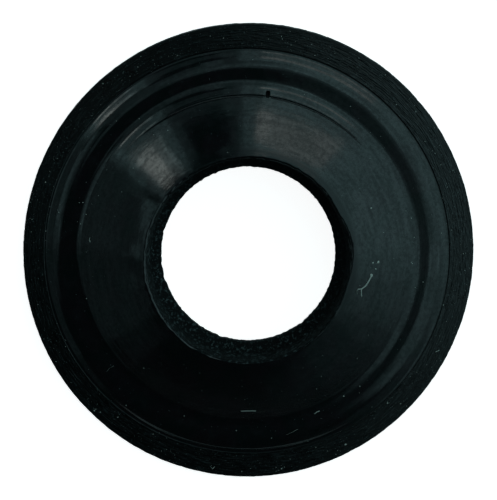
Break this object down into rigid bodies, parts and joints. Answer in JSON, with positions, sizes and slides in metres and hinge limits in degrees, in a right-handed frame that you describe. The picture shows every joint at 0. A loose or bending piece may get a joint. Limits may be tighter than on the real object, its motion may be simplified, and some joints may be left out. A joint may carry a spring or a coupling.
{
  "type": "valve cover bolt gasket",
  "caption": "Round moulded rubber seal with a flat flange, a stepped conical crown and an inner lip that grips a bolt or sleeve.",
  "frame": {"origin": "on the bore's axis, in the plane of the flat sealing base", "axes": "+Z along the bore from the base up through the crown; +X and +Y lie in the base, and +Y points to the edge that is at the top of the picture"},
  "size_m": [0.026, 0.026, 0.0045],
  "materials": {
    "rubber": "black moulded rubber, glossy on the moulded faces and matt on the trimmed rim"
  },
  "bodies": {
    "root": {"gasket": "rubber"}
  },
  "joints": []
}
